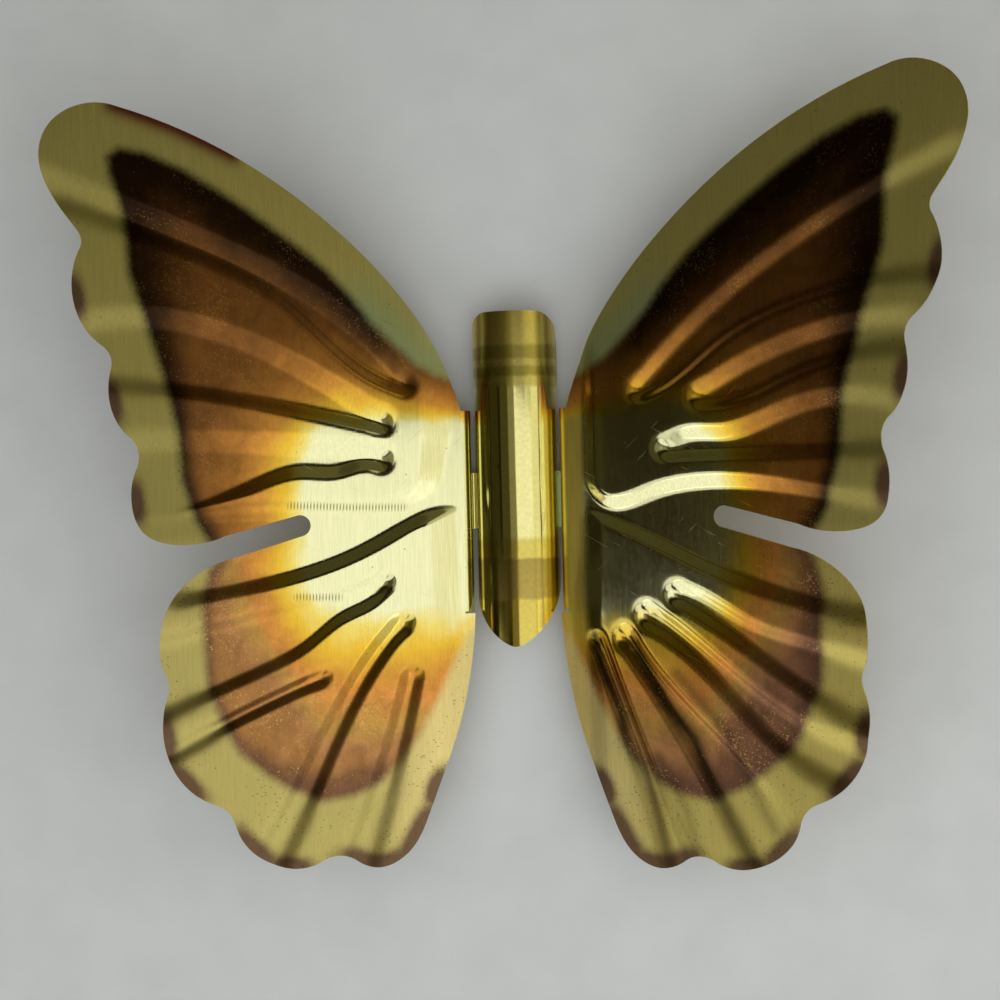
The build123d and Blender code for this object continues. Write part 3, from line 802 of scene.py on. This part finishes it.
def formBody():
    r = shell["radius"]
    corner = shell["headCorner"]
    half = [(0, shell["headTop"])]
    for i in range(shell["cornerSteps"] + 1):
        turn = math.pi / 2 * (1 - i / shell["cornerSteps"])
        half.append((r - corner + corner * math.cos(turn),
                     shell["headTop"] - corner + corner * math.sin(turn)))
    tailEnd = (0, shell["tailTip"])
    half += threePointArc((r, shell["tailStart"]), shell["tailSide"], tailEnd, shell["tailSteps"])
    rounded = np.array(half)
    for _ in range(shell["bluntRounds"]):  # the tip is blunt
        tip = rounded[:, 1] < shell["tailTip"] + shell["bluntReach"]
        nearby = np.vstack([rounded[1:], rounded[-2:-1] * [-1, 1]])
        moved = (np.vstack([rounded[:1], rounded[:-1]]) + nearby) / 2
        rounded = np.where(tip[:, None], 0.5 * rounded + 0.5 * moved, rounded)
        rounded[-1, 0] = 0
    run = [(r * math.asin(max(-1, min(1, x / r))), y) for x, y in rounded]
    outline = run + [(-s, y) for s, y in run[-2:0:-1]]
    flat, faces = cutBlank(outline, [], shell["meshStep"])
    turn = flat[:, 0] / r
    across, down = shell["dentSpan"]
    dent = np.array([noise.noise((s / across, y / down, shell["dentSeed"])) for s, y in flat]) * shell["dent"]
    wide = r - shell["inset"] + dent
    places = np.stack([wide * np.sin(turn), flat[:, 1], shell["edgeHeight"] + wide * np.cos(turn)], 1) * mm
    trough = meshPiece("bodyTrough", places, faces)
    addField(trough, "verdigris", np.zeros(len(flat)))
    thicken(trough, shell["sheet"] * mm)

    parts = [trough]
    for name in ("left_wing", "right_wing"):
        hinge = hingeOf(name) / mm
        side = 1 if hinge.x > 0 else -1
        reach = abs(hinge.x) - (r - shell["sheet"] / 2)
        curlRun = shell["curl"] * math.radians(shell["curlTurn"])
        rows = np.linspace(*shell["tabEnds"], shell["tabRows"])
        steps = np.concatenate([np.linspace(0, reach, shell["tabRun"])[:-1],
                                np.linspace(reach, reach + curlRun, shell["curlSteps"])])
        turn = np.maximum(0, steps - reach) / shell["curl"]
        x = np.where(steps < reach, abs(hinge.x) - reach + steps, abs(hinge.x) + shell["curl"] * np.sin(turn))
        z = hinge.z + shell["curl"] * np.cos(turn)
        places = np.array([(side * a, y, b) for y in rows for a, b in zip(x, z)]) * mm
        row = len(steps)
        quads = np.array([(j * row + i, j * row + i + 1, (j + 1) * row + i + 1, (j + 1) * row + i)
                          for j in range(len(rows) - 1) for i in range(row - 1)])
        tab = meshPiece(name + "Tab", places, quads if side > 0 else quads[:, ::-1])
        green = shell["rightGreen"] if side > 0 else shell["leftGreen"]
        addField(tab, "verdigris", np.full(len(places), green))
        thicken(tab, shell["sheet"] * mm)
        parts.append(tab)
    bpy.ops.object.select_all(action="DESELECT")
    for part in parts:
        part.select_set(True)
    bpy.context.view_layer.objects.active = trough
    bpy.ops.object.join()
    trough.name = "bodyShellBrass"
    print("body shell triangles", len(trough.data.polygons))
    return trough


def dress(piece, finish):
    piece.data.materials.clear()
    piece.data.materials.append(finish)


leftSheet = formWing("left_wing", leftWing)
dress(leftSheet, tintedBrass("leftTintedBrass", leftWing))
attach(leftSheet, "left_wing")
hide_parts("left_wing")

rightSheet = formWing("right_wing", rightWing)
dress(rightSheet, tintedBrass("rightTintedBrass", rightWing))
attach(rightSheet, "right_wing")
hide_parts("right_wing")
print("wings formed")

bodyPiece = formBody()
dress(bodyPiece, bodyBrass())
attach(bodyPiece, "body")
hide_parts("body_shell")
print("body formed")

strapFinish = strapBrass()
for holder in frame["nodes"]["hanger_strap"].material_slots:
    holder.material = strapFinish

studio = {
    "floorColours": ("#cdd0d0", "#d3d6d6"),
    "floorSize": 6,           # m
    "floorDrop": -0.0002,     # m, just below the ornament
    "fibre": 60.0,            # per m
    "roomLevel": 0.011,       # dim room above the softboxes
    "roomColour": "#ffe68c",
    "horizonLevel": 0.32,     # pale backdrop, low all round
    "horizonColour": "#f4f5f5",
    "horizonTop": (0.02, 0.13),
    "height": 0.62,           # m, ceiling softboxes above the floor
    "ceiling": {              # m: x from, x to, y from, y to; brightness a mirror shows; colour
        "key": (0.035, 0.72, -0.16, 0.03, 1.00, "#ffffff"),
        "keyFront": (0.035, 0.98, -1.50, -0.16, 1.00, "#ffffff"),
        "rightSide": (0.72, 1.75, -0.16, 0.40, 0.85, "#fffae0"),
        "headKey": (0.035, 0.09, 0.03, 0.09, 0.70, "#ffffff"),
        "headFill": (0.40, 0.72, 0.03, 0.42, 0.50, "#fffad8"),
        "mid": (-0.16, 0.035, -0.16, 0.12, 0.20, "#fff8d0"),
        "left": (-0.46, -0.16, -0.12, 0.25, 0.045, "#fff2a0"),
        "farLeft": (-1.60, -0.585, -0.13, 0.35, 0.02, "#fff08b"),
        "front": (-0.28, 0.035, -0.50, -0.22, 0.90, "#ffffff"),
        "leftFront": (-0.85, -0.30, -0.50, -0.150, 0.75, "#ffffff"),
        "backLeft": (-0.90, 0.15, 0.33, 1.70, 0.045, "#fff4a4"),
        "backRight": (0.15, 0.95, 0.33, 1.70, 0.085, "#fff4a4"),
    },
    "upright": {              # m: place, width, height; brightness
        "leftWindow": (-0.51, -0.68, 0.42, 0.60, 0.84, 1.0),
        "rightWindow": (1.09, -0.50, 0.42, 0.90, 0.82, 0.6),
        "backPanel": (0.79, 0.69, 0.245, 0.42, 0.48, 0.25),
    },
    "uprightAim": (0, -0.02),
    "lampSpan": 8.0,          # m, wide lamp for the floor
    "lampHeight": 3.0,
    "lampWatts": 95.0,
    "sensor": 36.0,           # mm
    "lens": 64.8,
    "nearest": 0.01,          # m
    "cameraRows": (           # turn and place of the photograph's camera
        (0.991181, 0.023766, 0.130363, 0.054477),
        (-0.024203, 0.999706, 0.001769, -0.033644),
        (-0.130282, -0.004909, 0.991465, 0.450729),
        (0, 0, 0, 1)),
}


def softBox(name, spanX, spanY, place, aim, level, colour):
    lamp = bpy.data.lights.new(name, "AREA")
    lamp.shape = "RECTANGLE"
    lamp.size = spanX
    lamp.size_y = spanY
    lamp.energy = level * math.pi * spanX * spanY
    lamp.color = hexColour(colour)[:3]
    holder = bpy.data.objects.new(name, lamp)
    holder.location = place
    holder.rotation_euler = (Vector(aim) - Vector(place)).to_track_quat("-Z", "Y").to_euler()
    holder.visible_camera = False
    bpy.context.scene.collection.objects.link(holder)
    return holder


for name, (x0, x1, y0, y1, level, colour) in studio["ceiling"].items():
    middle = ((x0 + x1) / 2, (y0 + y1) / 2, studio["height"])
    softBox(name + "SoftBox", x1 - x0, y1 - y0, middle, (middle[0], middle[1], 0), level, colour)
for name, (px, py, pz, wide, tall, level) in studio["upright"].items():
    softBox(name, wide, tall, (px, py, pz), (*studio["uprightAim"], pz), level, "#ffffff")
lampSpan = studio["lampSpan"]
floorLamp = softBox("floorLamp", lampSpan, lampSpan, (0, 0, studio["lampHeight"]), (0, 0, 0), 1.0, "#ffffff")
floorLamp.data.energy = studio["lampWatts"]
floorLamp.visible_glossy = False  # lights the floor, not the mirror of the metal

world = bpy.data.worlds.new("studioWorld")
bpy.context.scene.world = world
world.use_nodes = True
tree = world.node_tree
tree.nodes.clear()
heading = addNode(tree, "TexCoord", out=0)
rise = addNode(tree, "SeparateXYZ", inputs={0: heading}, out=2)
low, high = studio["horizonTop"]
above = addNode(tree, "MapRange", smooth, {0: rise, 1: low, 2: high})
backdrop = addNode(tree, "Background", inputs={
    0: hexColour(studio["horizonColour"]), 1: studio["horizonLevel"]})
room = addNode(tree, "Background", inputs={
    0: hexColour(studio["roomColour"]), 1: studio["roomLevel"]})
around = addNode(tree, "MixShader", inputs={0: above, 1: backdrop, 2: room})
addNode(tree, "OutputWorld", inputs={0: around})

bpy.ops.mesh.primitive_plane_add(size=studio["floorSize"], location=(0, 0, studio["floorDrop"]))
floor = bpy.context.object
floor.name = "paleFloor"
floorFinish, tree = startFinish("paleMattPaper")  # matt paper sweep: soft, even, no shine
spot = addNode(tree, "TexCoord", out=3)
fibre = addNode(tree, "TexNoise", inputs={0: spot, 2: studio["fibre"], 3: 4.0})
paper = addNode(tree, "ValToRGB", inputs={0: fibre}, ramp=list(zip((0.3, 0.7), studio["floorColours"])))
matt = addNode(tree, "BsdfPrincipled", inputs={
    "Base Color": paper, "Roughness": 0.9, "Specular IOR Level": 0.1})
addNode(tree, "OutputMaterial", inputs={0: matt})
floor.data.materials.append(floorFinish)

camera = bpy.data.objects.new("photoCamera", bpy.data.cameras.new("photoCamera"))
bpy.context.scene.collection.objects.link(camera)
camera.data.sensor_width = studio["sensor"]
camera.data.lens = studio["lens"]
camera.matrix_world = Matrix(studio["cameraRows"])
camera.data.clip_start = studio["nearest"]
bpy.context.scene.camera = camera
bpy.context.scene.view_settings.view_transform = "Standard"
print("studio ready")
